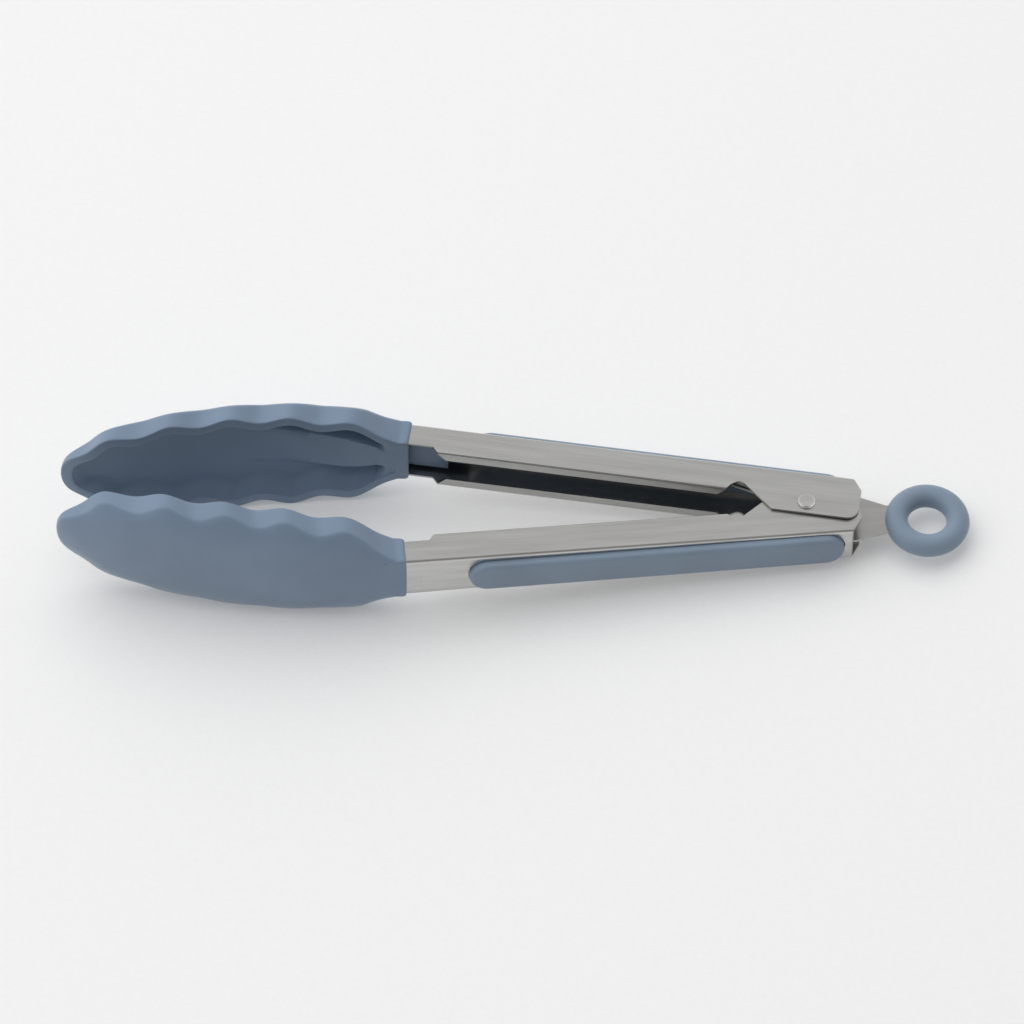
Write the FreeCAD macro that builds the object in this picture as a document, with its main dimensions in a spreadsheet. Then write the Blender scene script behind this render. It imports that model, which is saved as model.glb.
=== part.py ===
"""Spring loaded kitchen tongs: two hinged steel channels with silicone heads and a pull-ring lock.

Millimetres, +Z along the pivot. The origin is the middle of the hang ring's hole, the heads lie
towards -X, and the outer arm is on the +Y side. Each arm piece is drawn in the arm's own axes:
origin on the pivot, X along the arm, Y towards its back. The inner arm is the same way round,
turned over about X.
"""
import FreeCAD, Part
import math
import os

import Sketcher
from FreeCAD import Placement, Rotation, Vector

DRIVING_SIZES = [
    # the whole tool
    ("half_opening", 7.07, "angle of each arm from the centre line, degrees"),
    ("ring_to_pivot", 34.9, "hang ring centre to pivot axis"),
    # arm channels
    ("sheet_gauge", 0.7, "steel thickness of the arms"),
    ("back_offset", 10.7, "outer face of an arm's back from the pivot"),
    ("rim_offset", 1.26, "folded lip's face from the pivot"),
    ("collar_edge", 3.4, "edge of the side walls beside the head"),
    ("outer_height", 15.5, "outer arm across its side walls"),
    ("inner_head_height", 16.0, "inner arm across its side walls, head end"),
    ("inner_tail_height", 13.3, "inner arm across its side walls, tail end"),
    ("lip_reach", 3.3, "width of the folded lips"),
    ("arm_front", 122.0, "pivot to the arm's buried front end"),
    ("lip_front", 106.8, "pivot to the front end of the lips"),
    ("lip_slant", 2.4, "slant of each lip's ends"),
    ("lip_step", 1.8, "length of the step down to the collar edge"),
    ("lip_back", 23.4, "pivot to the back end of the lips"),
    ("notch_reach", 20.0, "pivot to the top of the relief notch"),
    ("outer_notch", 3.2, "depth of the outer arm's relief notch past the lips"),
    ("inner_notch", 1.9, "depth of the inner arm's relief notch past the lips"),
    ("ear_front", 9.6, "pivot to the front corner of the ear"),
    ("ear_edge", 3.8, "ear's edge beyond the pivot"),
    ("tail_reach", 15.06, "pivot to the end of the ears"),
    ("tail_back", 12.0, "pivot to the end of the back wall"),
    ("tail_corner", 6.3, "where the slanted ear corner meets the ear's end"),
    ("ear_rounding", 3.6, "radius of the ear's free corner"),
    ("bend_radius", 1.2, "outer radius of the channel's bends"),
    ("notch_rounding", 1.4, "radius at the top of the relief notch"),
    # grip pads
    ("slot_front", 98.1, "pivot to the front end of the pad's slot"),
    ("slot_back", 10.1, "pivot to the back end of the pad's slot"),
    ("slot_half", 5.85, "half width of the pad's slot"),
    ("pad_gap", 0.2, "gap around the pad in its slot"),
    ("pad_proud", 2.5, "pad's height above the arm's back"),
    ("pad_rounding", 1.3, "radius of the pad's upper edge"),
    ("flange_back", 28.0, "pivot to the back end of the pad's inner flange"),
    ("flange_half", 6.2, "half width of the inner flange"),
    ("flange_gauge", 1.0, "thickness of the inner flange"),
    # pivot
    ("pin_radius", 2.0, "rivet shank"),
    ("pin_clearance", 0.05, "radial clearance in the ears"),
    ("rivet_head_radius", 2.6, "rivet head"),
    ("rivet_head_height", 1.0, "rivet head above the ear"),
    ("head_play", 0.05, "play between rivet head and ear"),
    # torsion spring
    ("wire_radius", 0.5, "spring wire"),
    ("coil_radius", 3.5, "mean radius of the coils"),
    ("coil_pitch", 1.3, "rise of one turn"),
    ("coil_turns", 3.0, "whole turns in each coil"),
    ("coil_start", 1.05, "first turn's height over the middle plane"),
    ("leg_reach", 23.0, "pivot to the end of a spring leg"),
    # lock plate and ring
    ("plate_gauge", 0.8, "lock plate thickness"),
    ("plate_half", 7.8, "lock plate's half width"),
    ("plate_front", 8.5, "pivot to the plate's front end"),
    ("plate_shoulder", 14.5, "pivot to the start of the plate's taper"),
    ("taper_back", 23.0, "pivot to the end of the plate's taper"),
    ("neck_half", 4.8, "half width where the plate enters the ring"),
    ("eye_outer", 10.4, "outer radius of the plate's eye"),
    ("eye_inner", 7.0, "inner radius of the plate's eye"),
    ("slot_ring_side", 7.2, "travel slot's centre on the ring side"),
    ("slot_head_side", 2.1, "travel slot's centre on the head side"),
    ("ring_radius", 8.8, "hang ring's centre line"),
    ("ring_section", 3.4, "hang ring's section radius"),
    ("hole_radius", 5.5, "hang hole"),
    # heads
    ("collar_front", 115.6, "pivot to the collar's open end"),
    ("head_tip", 213.7, "pivot to the head's tip"),
    ("cover_wall", 0.8, "silicone around the arm in the collar"),
    ("collar_half", 8.6, "collar's half width"),
    ("head_half", 19.8, "head's greatest half width"),
    ("head_widest", 162.0, "pivot to the head's widest place"),
    ("shoulder_start", 119.0, "pivot to where the head leaves the collar"),
    ("wave_height", 1.2, "scallop of the head's edge"),
    ("wave_pitch", 16.75, "length of one scallop"),
    ("first_crest", 132.4, "pivot to the first scallop's crest"),
    ("crown_radius", 52.0, "head's back across its width"),
    ("rim_width", 3.4, "flat rim around the scoop"),
    ("floor_gauge", 3.2, "silicone behind the scoop"),
    ("core_half", 5.6, "half width of the nylon spine"),
    ("core_gauge", 1.4, "thickness of the nylon spine"),
    ("core_reach", 198.0, "pivot to the front of the nylon spine"),
    ("tongue_front", 104.5, "pivot to the tongue's shoulder"),
    ("tongue_tip", 98.8, "pivot to the tongue's narrow tip"),
    ("tongue_face", 6.0, "tongue's face from the pivot"),
]

doc = FreeCAD.newDocument("kitchen_tongs")
sheet = doc.addObject("Spreadsheet::Sheet", "Sizes")
for row, (alias, value, meaning) in enumerate(DRIVING_SIZES, start=1):
    sheet.set(f"A{row}", meaning)
    sheet.set(f"B{row}", str(value))
    sheet.setAlias(f"B{row}", alias)
doc.recompute()


def size(alias):
    """Value of one cell of the sheet."""
    return float(sheet.get(alias))


def bound(text):
    """Expression text with every alias pointed at the sheet."""
    for alias, _, _ in sorted(DRIVING_SIZES, key=lambda entry: -len(entry[0])):
        text = text.replace(alias, "<" + alias[::-1] + ">")
    for alias, _, _ in DRIVING_SIZES:
        text = text.replace("<" + alias[::-1] + ">", "Sizes." + alias)
    return text


def value_of(text):
    """Number that an expression gives now."""
    return float(sheet.evalExpression(bound(text)))


# ---------------------------------------------------------------- sketches and features

def new_body(label):
    body = doc.addObject("PartDesign::Body", label)
    body.Label = label
    return body


def new_sketch(body, role, name, offset="0"):
    """Empty sketch on one of the body's origin planes, moved along the plane's normal."""
    sketch = body.newObject("Sketcher::SketchObject", name)
    plane = [feature for feature in body.Origin.OriginFeatures if feature.Role == role][0]
    sketch.AttachmentSupport = [(plane, "")]
    sketch.MapMode = "FlatFace"
    sketch.setExpression("AttachmentOffset.Base.z", bound(offset))
    return sketch


def pin_point(sketch, geometry, point, x_text, y_text):
    """Hold one point of the sketch at two expressions from the origin."""
    for kind, text in (("DistanceX", x_text), ("DistanceY", y_text)):
        index = sketch.addConstraint(
            Sketcher.Constraint(kind, -1, 1, geometry, point, value_of(text)))
        sketch.setExpression(f"Constraints[{index}]", bound(text))


def polygon(sketch, corners):
    """Closed outline whose every corner is held by expressions."""
    places = [Vector(value_of(x), value_of(y), 0) for x, y in corners]
    count = len(corners)
    for i in range(count):
        sketch.addGeometry(Part.LineSegment(places[i], places[(i + 1) % count]), False)
    for i in range(count):
        sketch.addConstraint(Sketcher.Constraint("Coincident", i, 2, (i + 1) % count, 1))
    for i, (x_text, y_text) in enumerate(corners):
        pin_point(sketch, i, 1, x_text, y_text)


def mirrored_outline(upper):
    """Corners of an outline given its half above the X axis, from left to right."""
    lower = [(x, f"-({y})") for x, y in upper]
    return lower + upper[::-1]


def stadium(sketch, left, right, half):
    """Slot outline along X: two arcs about the given centres, joined by two lines."""
    x1, x2, r = value_of(left), value_of(right), value_of(half)
    up = Vector(0, 0, 1)
    arc_left = Part.ArcOfCircle(Part.Circle(Vector(x1, 0, 0), up, r), math.pi / 2, 1.5 * math.pi)
    arc_right = Part.ArcOfCircle(Part.Circle(Vector(x2, 0, 0), up, r), -math.pi / 2, math.pi / 2)
    for piece in (arc_left, Part.LineSegment(Vector(x1, -r, 0), Vector(x2, -r, 0)),
                  arc_right, Part.LineSegment(Vector(x2, r, 0), Vector(x1, r, 0))):
        sketch.addGeometry(piece, False)
    sketch.addConstraint(Sketcher.Constraint("Tangent", 0, 2, 1, 1))
    sketch.addConstraint(Sketcher.Constraint("Tangent", 1, 2, 2, 1))
    sketch.addConstraint(Sketcher.Constraint("Tangent", 2, 2, 3, 1))
    sketch.addConstraint(Sketcher.Constraint("Tangent", 3, 2, 0, 1))
    pin_point(sketch, 0, 3, left, "0")
    pin_point(sketch, 2, 3, right, "0")
    index = sketch.addConstraint(Sketcher.Constraint("Radius", 0, r))
    sketch.setExpression(f"Constraints[{index}]", bound(half))


def circle(sketch, centre_x, radius):
    sketch.addGeometry(Part.Circle(Vector(value_of(centre_x), 0, 0), Vector(0, 0, 1), value_of(radius)),
                       False)
    pin_point(sketch, 0, 3, centre_x, "0")
    index = sketch.addConstraint(Sketcher.Constraint("Radius", 0, value_of(radius)))
    sketch.setExpression(f"Constraints[{index}]", bound(radius))


def pad(body, sketch, length, both_ways=False, towards_back=False):
    feature = body.newObject("PartDesign::Pad", sketch.Name + "_pad")
    feature.Profile = sketch
    feature.setExpression("Length", bound(length))
    feature.Midplane = both_ways
    feature.Reversed = towards_back
    doc.recompute()
    return feature


def pocket(body, sketch, length, both_ways=False, towards_rim=False):
    """Cut the sketch out of the body, and stop if nothing was cut."""
    before = body.Shape.Volume
    feature = body.newObject("PartDesign::Pocket", sketch.Name + "_pocket")
    feature.Profile = sketch
    feature.setExpression("Length", bound(length))
    feature.Midplane = both_ways
    feature.Reversed = towards_rim
    doc.recompute()
    if body.Shape.Volume > before - 0.01:
        raise RuntimeError(f"{feature.Name} cut nothing")
    return feature


def fillet(body, radius, wanted):
    """Round the edges of the body's tip that the test picks."""
    base = body.Tip
    names = [f"Edge{i}" for i, edge in enumerate(base.Shape.Edges, start=1) if wanted(edge)]
    if not names:
        raise RuntimeError(f"no edge to round in {body.Label}")
    feature = body.newObject("PartDesign::Fillet", body.Name + "_fillet")
    feature.Base = (base, names)
    feature.setExpression("Radius", bound(radius))
    doc.recompute()
    return feature


def upright_edge_near(x, y):
    """Test for an edge parallel to the pivot at a place in the arm's side view."""
    def wanted(edge):
        middle = edge.CenterOfMass
        box = edge.BoundBox
        straight = box.XLength < 0.02 and box.YLength < 0.02
        return straight and math.hypot(middle.x - x, middle.y - y) < 0.1
    return wanted


def long_edge_at(y, least_length):
    """Test for an outer edge along the arm at one distance from the pivot."""
    def wanted(edge):
        box = edge.BoundBox
        at_side = min(abs(box.ZMin), abs(box.ZMax)) > size("inner_tail_height") / 2 - 0.1
        level = abs(box.YMin - y) < 0.02 and abs(box.YMax - y) < 0.02
        return level and at_side and box.XLength > least_length
    return wanted


# ---------------------------------------------------------------- placements

def pivot_placement():
    return Placement(Vector(-size("ring_to_pivot"), 0, 0), Rotation())


def outer_placement():
    swing = Rotation(Vector(0, 0, 1), -size("half_opening"))
    return Placement(Vector(-size("ring_to_pivot"), 0, 0), swing)


def inner_placement():
    turned_over = Rotation(Vector(1, 0, 0), 180)
    swing = Rotation(Vector(0, 0, 1), size("half_opening"))
    return Placement(Vector(-size("ring_to_pivot"), 0, 0), swing.multiply(turned_over))


# ---------------------------------------------------------------- arms

def arm(label, head_height, tail_height, notch_depth, placement):
    """Steel channel with folded lips, a relief notch, ears and the pad's slot."""
    body = new_body(label)
    slope = f"(({head_height}) - ({tail_height})) / (arm_front + tail_reach)"

    def half_at(x, inset):
        return f"({tail_height}) / 2 + {slope} / 2 * (tail_reach - ({x})) - {inset}"

    def across(stations):
        return mirrored_outline([(x, half_at(x, inset)) for x, inset in stations])

    blank = new_sketch(body, "XZ_Plane", label + "_blank", "ear_edge + 1")
    polygon(blank, across([("-arm_front", "0"), ("tail_reach", "0")]))
    pad(body, blank, "back_offset + ear_edge + 1", towards_back=True)

    hollow = new_sketch(body, "XZ_Plane", label + "_hollow", "-(back_offset - sheet_gauge)")
    polygon(hollow, across([("-arm_front - 1", "sheet_gauge"), ("tail_reach + 1", "sheet_gauge")]))
    pocket(body, hollow, "back_offset - rim_offset - 2 * sheet_gauge", towards_rim=True)

    mouth = new_sketch(body, "XZ_Plane", label + "_mouth", "-(rim_offset + sheet_gauge)")
    polygon(mouth, across([
        ("-arm_front - 1", "sheet_gauge"), ("-lip_front", "sheet_gauge"),
        ("-lip_front + lip_slant", "lip_reach"), ("-lip_back - lip_slant", "lip_reach"),
        ("-lip_back", "sheet_gauge"), ("tail_reach + 1", "sheet_gauge")]))
    pocket(body, mouth, "rim_offset + sheet_gauge + ear_edge + 2", towards_rim=True)

    trim = new_sketch(body, "XY_Plane", label + "_trim")
    polygon(trim, [
        ("-arm_front - 2", "-ear_edge - 3"), ("-arm_front - 2", "collar_edge"),
        ("-lip_front - lip_step", "collar_edge"), ("-lip_front", "rim_offset"),
        ("-lip_back", "rim_offset"), ("-notch_reach - 2", f"rim_offset + 0.6 * {notch_depth}"),
        ("-notch_reach", f"rim_offset + {notch_depth}"),
        ("-notch_reach + 1.4", f"rim_offset + {notch_depth} - 0.4"),
        ("-ear_front", "-ear_edge"), ("tail_reach", "-ear_edge"),
        ("tail_reach", "tail_corner"), ("tail_back", "back_offset"),
        ("tail_back", "back_offset + 2"), ("tail_reach + 2", "back_offset + 2"),
        ("tail_reach + 2", "-ear_edge - 3")])
    pocket(body, trim, "outer_height + 4", both_ways=True)

    slot = new_sketch(body, "XZ_Plane", label + "_slot", "-(back_offset - sheet_gauge - 0.5)")
    stadium(slot, "-slot_front + slot_half", "slot_back - slot_half", "slot_half")
    pocket(body, slot, "sheet_gauge + 1")

    bore = new_sketch(body, "XY_Plane", label + "_bore")
    circle(bore, "0", "pin_radius + pin_clearance")
    pocket(body, bore, "outer_height + 4", both_ways=True)

    fillet(body, "ear_rounding", upright_edge_near(size("tail_reach"), -size("ear_edge")))
    notch_top = value_of(f"rim_offset + {notch_depth}")
    fillet(body, "notch_rounding", upright_edge_near(-size("notch_reach"), notch_top))
    fillet(body, "bend_radius", long_edge_at(size("back_offset"), 50))
    fillet(body, "bend_radius / 2", long_edge_at(size("rim_offset"), 50))
    body.Placement = placement
    return body


def grip_pad(label, placement):
    """Soft pad in the slot of an arm's back, held by a flange inside the channel."""
    body = new_body(label)
    front = "-slot_front + slot_half"
    neck = new_sketch(body, "XZ_Plane", label + "_neck", "-(back_offset - sheet_gauge)")
    stadium(neck, front, "slot_back - slot_half", "slot_half - pad_gap")
    pad(body, neck, "sheet_gauge + pad_proud", towards_back=True)
    top = value_of("back_offset + pad_proud")
    fillet(body, "pad_rounding", lambda edge: abs(edge.BoundBox.YMin - top) < 0.02)
    flange = new_sketch(body, "XZ_Plane", label + "_flange", "-(back_offset - sheet_gauge)")
    stadium(flange, front, "-flange_back - flange_half", "flange_half")
    pad(body, flange, "flange_gauge")
    body.Placement = placement
    return body


# ---------------------------------------------------------------- pivot, lock and ring

def pivot_rivet():
    """Rivet with a flat-domed head outside each outer ear."""
    body = new_body("pivot_rivet")
    profile = new_sketch(body, "XZ_Plane", "rivet_profile")
    under = "outer_height / 2 + head_play"
    top = f"{under} + rivet_head_height"
    rim = f"{under} + rivet_head_height / 2"
    upper = [("pin_radius", under), ("rivet_head_radius", under), ("rivet_head_radius", rim),
             ("rivet_head_radius * 0.7", top), ("0", top)]
    lower = [(x, f"-({z})") for x, z in upper[::-1]]
    polygon(profile, lower + upper)
    turned = body.newObject("PartDesign::Revolution", "rivet_turned")
    turned.Profile = profile
    turned.ReferenceAxis = (profile, ["V_Axis"])
    turned.Angle = 360
    doc.recompute()
    body.Placement = pivot_placement()
    return body


def lock_plate():
    """Flat plate with a travel slot for the rivet and an eye inside the hang ring."""
    body = new_body("lock_plate")
    blade = new_sketch(body, "XY_Plane", "plate_blade")
    polygon(blade, mirrored_outline([
        ("-plate_front", "plate_half - 2"), ("-plate_front + 2", "plate_half"),
        ("plate_shoulder", "plate_half"), ("taper_back", "neck_half"),
        ("ring_to_pivot - eye_inner", "neck_half")]))
    pad(body, blade, "plate_gauge", both_ways=True)
    eye = new_sketch(body, "XY_Plane", "plate_eye")
    circle(eye, "ring_to_pivot", "eye_outer")
    pad(body, eye, "plate_gauge", both_ways=True)
    hole = new_sketch(body, "XY_Plane", "plate_hole")
    circle(hole, "ring_to_pivot", "eye_inner")
    pocket(body, hole, "plate_gauge + 2", both_ways=True)
    travel = new_sketch(body, "XY_Plane", "plate_travel")
    stadium(travel, "-slot_head_side", "slot_ring_side", "pin_radius + 0.3")
    pocket(body, travel, "plate_gauge + 2", both_ways=True)
    body.Placement = pivot_placement()
    return body


def hang_ring(plate):
    """Soft ring moulded over the plate's eye, with a short straight land in its hole."""
    torus = doc.addObject("Part::Torus", "ring_torus")
    torus.setExpression("Radius1", bound("ring_radius"))
    torus.setExpression("Radius2", bound("ring_section"))
    hole = doc.addObject("Part::Cylinder", "ring_hole")
    hole.setExpression("Radius", bound("hole_radius"))
    hole.setExpression("Height", bound("4 * ring_section"))
    hole.setExpression("Placement.Base.z", bound("-2 * ring_section"))
    bored = doc.addObject("Part::Cut", "ring_bored")
    bored.Base = torus
    bored.Tool = hole
    ring = doc.addObject("Part::Cut", "hang_ring")
    ring.Base = bored
    ring.Tool = plate
    ring.Label = "hang_ring"
    doc.recompute()
    return ring


def rod(start, end):
    """Straight run of spring wire with rounded ends."""
    wire = size("wire_radius")
    line = end.sub(start)
    straight = Part.makeCylinder(wire, line.Length, start, line)
    return [Part.makeSphere(wire, start), straight, Part.makeSphere(wire, end)]


def torsion_spring():
    """Two coils about the rivet. A bridge between their inner legs presses on the outer arm, and
    the free legs press on the inner arm."""
    wire, radius, start = size("wire_radius"), size("coil_radius"), size("coil_start")
    swing = math.radians(size("half_opening"))
    bearing = size("back_offset") - size("sheet_gauge") - wire - 0.05
    reach = size("leg_reach")
    outer_end = Vector(-reach * math.cos(swing) + bearing * math.sin(swing),
                       reach * math.sin(swing) + bearing * math.cos(swing), start)
    direction = math.atan2(outer_end.y, outer_end.x)
    leaves_at = direction - math.acos(radius / math.hypot(outer_end.x, outer_end.y))
    rise = size("coil_pitch") * (size("coil_turns") + leaves_at / math.pi)
    left_handed = True
    helix = Part.makeHelix(size("coil_pitch"), rise, radius, 0, left_handed)
    helix.rotate(Vector(), Vector(0, 0, 1), math.degrees(leaves_at))
    helix.translate(Vector(0, 0, start))
    line = helix.Edges[0]
    first, last = line.valueAt(line.FirstParameter), line.valueAt(line.LastParameter)
    section = Part.Edge(Part.Circle(first, line.tangentAt(line.FirstParameter), wire))
    upper = Part.Wire(helix.Edges).makePipeShell([Part.Wire([section])], True, True)
    free_end = Vector(outer_end.x, -outer_end.y, last.z)
    bridge_end = Vector(outer_end.x, outer_end.y, -start)
    for piece in rod(first, outer_end) + rod(last, free_end):
        upper = upper.fuse(piece)
    lower = upper.mirror(Vector(), Vector(0, 0, 1))
    spring = doc.addObject("Part::Feature", "torsion_spring")
    spring.Shape = upper.fuse(rod(outer_end, bridge_end)[1]).fuse(lower)
    spring.Placement = pivot_placement()
    return spring


# ---------------------------------------------------------------- heads

def head_half_width(reach):
    """Half width of the head without its scallops, at a distance from the pivot."""
    widest, half = size("head_widest"), size("head_half")
    if reach < widest:
        part = (widest - reach) / (widest - size("shoulder_start"))
        collar = size("collar_half")
        return collar + (half - collar) * math.sqrt(max(0.0, 1 - part ** 2))
    part = (reach - widest) / (size("head_tip") - widest)
    return half * max(0.0, 1 - part ** 2.6) ** (1 / 2.6)


def head_edge_points(inset):
    """Upper edge of the head's outline from the shoulder to the tip, inset by a rim."""
    tip = size("head_tip") - inset
    half_pitch = size("wave_pitch") / 2
    points = [(123.6, 11.6 - inset)]
    for k in range(9):
        reach = size("first_crest") + k * half_pitch
        wave = size("wave_height") * (-1) ** k
        points.append((reach, head_half_width(reach) + wave - inset))
    points += [(tip - 7.3, 10.7 - inset), (tip - 1.8, 6.4 - 0.4 * inset), (tip, 0.0)]
    return points


def head_outline(inset, collar_x, collar_half):
    """Closed face of the head seen square to its back, in the arm's X and Z."""
    upper = head_edge_points(inset)
    lower = [(reach, -half) for reach, half in upper[-2::-1]]
    edge = [(collar_x + 3.0, collar_half)] + upper + lower + [(collar_x + 3.0, -collar_half)]
    curve = Part.BSplineCurve()
    curve.interpolate([Vector(-reach, 0, half) for reach, half in edge])
    start, end = Vector(-collar_x, 0, collar_half), Vector(-collar_x, 0, -collar_half)
    corners = [Vector(-collar_x - 3.0, 0, collar_half), Vector(-collar_x - 3.0, 0, -collar_half)]
    wire = Part.Wire([Part.LineSegment(start, corners[0]).toShape(), curve.toShape(),
                      Part.LineSegment(corners[1], end).toShape(), Part.LineSegment(end, start).toShape()])
    return Part.Face(wire)


def head_back_centre():
    """Centre and radius of the arc that the head's back follows from collar to tip."""
    behind = size("back_offset") + size("cover_wall")
    points = [Vector(-size("collar_front"), behind, 0), Vector(-165.0, 4.9, 0),
              Vector(-size("head_tip"), -13.9, 0)]
    arc = Part.Arc(*points).toShape().Curve
    return arc.Center, arc.Radius


def crowned_solid(depth):
    """Everything on the rim side of the crowned back, moved in by a depth."""
    centre, radius = head_back_centre()
    crown = size("crown_radius") - depth
    return Part.makeTorus(radius - size("crown_radius"), crown, centre, Vector(0, 0, 1))


def rim_curve():
    """Rim line of the head in the side view."""
    start = size("collar_edge") - size("cover_wall")
    points = [(size("collar_front"), start), (150.0, -2.7), (175.0, -8.5), (196.0, -14.9),
              (206.0, -16.9), (size("head_tip") + 1, -17.2)]
    curve = Part.BSplineCurve()
    curve.interpolate([Vector(-reach, y, 0) for reach, y in points])
    return curve.toShape()


def above_rim():
    """Slab between the rim line and a line well behind the back, across the whole head."""
    rim = rim_curve()
    first, last = rim.Vertexes[0].Point, rim.Vertexes[-1].Point
    behind, across = 40.0, 50.0
    corners = [last, Vector(last.x, behind, 0), Vector(first.x, behind, 0), first]
    edges = [rim] + Part.makePolygon(corners).Edges
    slab = Part.Face(Part.Wire(Part.__sortEdges__(edges))).extrude(Vector(0, 0, across))
    slab.translate(Vector(0, 0, -across / 2))
    return slab


def core_shape(channel_height):
    """Nylon spine: a tongue for the channel and a blade along the head."""
    inner_back = size("back_offset") - size("sheet_gauge")
    front = size("arm_front")
    room = channel_height / 2 - size("sheet_gauge") - 0.25
    face = size("tongue_face")
    plug = Part.makeBox(front - size("tongue_front"), inner_back - face, 2 * size("core_half"),
                        Vector(-front, face, -size("core_half")))
    step = Part.makeBox(size("tongue_front") - size("tongue_tip"), inner_back - face - 1.2, 8.0,
                        Vector(-size("tongue_front"), face + 1.2, -4.0))
    head = Part.makeBox(6.0, inner_back - size("collar_edge") - 0.8, 2 * room,
                        Vector(-front, size("collar_edge") + 0.8, -room))
    outer_face = crowned_solid(1.2)
    inner_face = crowned_solid(1.2 + size("core_gauge"))
    blade_block = Part.makeBox(size("core_reach") - front, 40.0, 2 * size("core_half"),
                               Vector(-size("core_reach"), -25.0, -size("core_half")))
    blade = blade_block.common(outer_face).cut(inner_face)
    return plug.multiFuse([step, head, blade]).removeSplitter()


def cover_shape(channel_height, core):
    """Silicone scoop: crowned scalloped shell, collar, and pockets for arm and core."""
    collar, wall = size("collar_front"), size("cover_wall")
    rise = 30.0
    outline = head_outline(0.0, collar, size("collar_half"))
    outline.translate(Vector(0, -rise, 0))
    prism = outline.extrude(Vector(0, 2 * rise, 0))
    solid = prism.common(crowned_solid(0.0)).common(above_rim())
    sleeve_depth = size("back_offset") - size("collar_edge") + 2 * wall
    sleeve = Part.makeBox(9.0, sleeve_depth, 2 * size("collar_half"),
                          Vector(-collar - 9.0, size("collar_edge") - wall, -size("collar_half")))
    solid = solid.fuse(sleeve)
    inner = head_outline(size("rim_width"), collar + 7.0, size("core_half"))
    inner.translate(Vector(0, -rise, 0))
    hollow = inner.extrude(Vector(0, 2 * rise, 0)).common(crowned_solid(size("floor_gauge")))
    solid = solid.cut(hollow)
    insert = size("arm_front") - collar
    depth = size("back_offset") - size("collar_edge")
    pocket_box = Part.makeBox(insert, depth, channel_height,
                              Vector(-size("arm_front"), size("collar_edge"), -channel_height / 2))
    return solid.cut(pocket_box).cut(core).removeSplitter()


def head(side, channel_height, placement):
    core = doc.addObject("Part::Feature", side + "_head_core")
    core.Shape = core_shape(channel_height)
    cover = doc.addObject("Part::Feature", side + "_head_cover")
    cover.Shape = cover_shape(channel_height, core.Shape)
    core.Placement = placement
    cover.Placement = placement
    return [core, cover]


# ---------------------------------------------------------------- assembly and export

def check(objects):
    for thing in doc.Objects:
        if "Invalid" in thing.State or "Error" in thing.State:
            raise RuntimeError(f"{thing.Name} is {thing.State}")
    for thing in objects:
        if thing.Shape.isNull() or not thing.Shape.isValid():
            raise RuntimeError(f"{thing.Label} has a bad shape")
        print(thing.Label, len(thing.Shape.Solids), "solid", round(thing.Shape.Volume, 1), "mm3")


def build():
    plate = lock_plate()
    head_height, tail_height = "inner_head_height", "inner_tail_height"
    pieces = [
        arm("outer_arm", "outer_height", "outer_height", "outer_notch", outer_placement()),
        arm("inner_arm", head_height, tail_height, "inner_notch", inner_placement()),
        grip_pad("outer_grip_pad", outer_placement()),
        grip_pad("inner_grip_pad", inner_placement()),
        pivot_rivet(), torsion_spring(), plate, hang_ring(plate)]
    pieces += head("outer", size("outer_height"), outer_placement())
    pieces += head("inner", size("inner_head_height"), inner_placement())
    doc.recompute()
    check(pieces)
    os.makedirs("parts", exist_ok=True)
    for piece in pieces:
        piece.Shape.exportStep(f"parts/{piece.Label}.step")


build()
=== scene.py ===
"""Looks of the spring loaded kitchen tongs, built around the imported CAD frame.

Metres, in the frame's own axes: +Z along the pivot, heads towards -X, outer arm on the +Y side.
Each lever piece is first worked out in its arm's axes, in millimetres: reach is the distance from
the pivot along the arm, height the distance from the pivot towards the arm's back, and side the
distance along the pivot. The inner arm is the outer arm turned over about X.
"""
import math

import bmesh
import bpy
from mathutils import Matrix, Vector

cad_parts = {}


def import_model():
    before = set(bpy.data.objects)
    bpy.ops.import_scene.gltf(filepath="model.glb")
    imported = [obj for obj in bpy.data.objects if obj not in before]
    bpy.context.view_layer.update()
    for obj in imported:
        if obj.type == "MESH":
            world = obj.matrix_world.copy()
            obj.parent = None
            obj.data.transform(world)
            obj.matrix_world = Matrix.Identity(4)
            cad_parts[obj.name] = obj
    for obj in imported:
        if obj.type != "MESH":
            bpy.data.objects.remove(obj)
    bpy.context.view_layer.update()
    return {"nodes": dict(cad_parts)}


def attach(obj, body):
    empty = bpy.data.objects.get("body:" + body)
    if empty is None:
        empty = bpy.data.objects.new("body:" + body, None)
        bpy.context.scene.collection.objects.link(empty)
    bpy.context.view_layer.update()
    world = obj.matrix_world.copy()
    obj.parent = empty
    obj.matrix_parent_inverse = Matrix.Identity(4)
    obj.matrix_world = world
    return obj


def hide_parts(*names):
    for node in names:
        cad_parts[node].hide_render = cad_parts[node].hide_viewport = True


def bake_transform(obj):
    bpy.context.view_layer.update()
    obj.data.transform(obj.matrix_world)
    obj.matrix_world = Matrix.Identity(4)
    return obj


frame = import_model()

MM = 0.001
HALF_OPENING = math.radians(7.07)
PIVOT_X = -34.9
LEVERS = {"outer": 1, "inner": -1}
ARM_BACK, SHEET_GAUGE = 10.7, 0.7
CHANNEL_HALF = 7.75

# ---------------------------------------------------------------- places


def lever_point(lever, reach, height, side):
    """Point of the frame, in metres, for a place in one arm's axes, in millimetres."""
    cos, sin = math.cos(HALF_OPENING), math.sin(HALF_OPENING)
    x = PIVOT_X - reach * cos + height * sin
    y = reach * sin + height * cos
    sign = LEVERS[lever]
    return Vector((x, sign * y, sign * side)) * MM


def smooth_step(low, high, value):
    """Soft rise from 0 at low to 1 at high."""
    part = min(1.0, max(0.0, (value - low) / (high - low)))
    return part * part * (3 - 2 * part)


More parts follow.
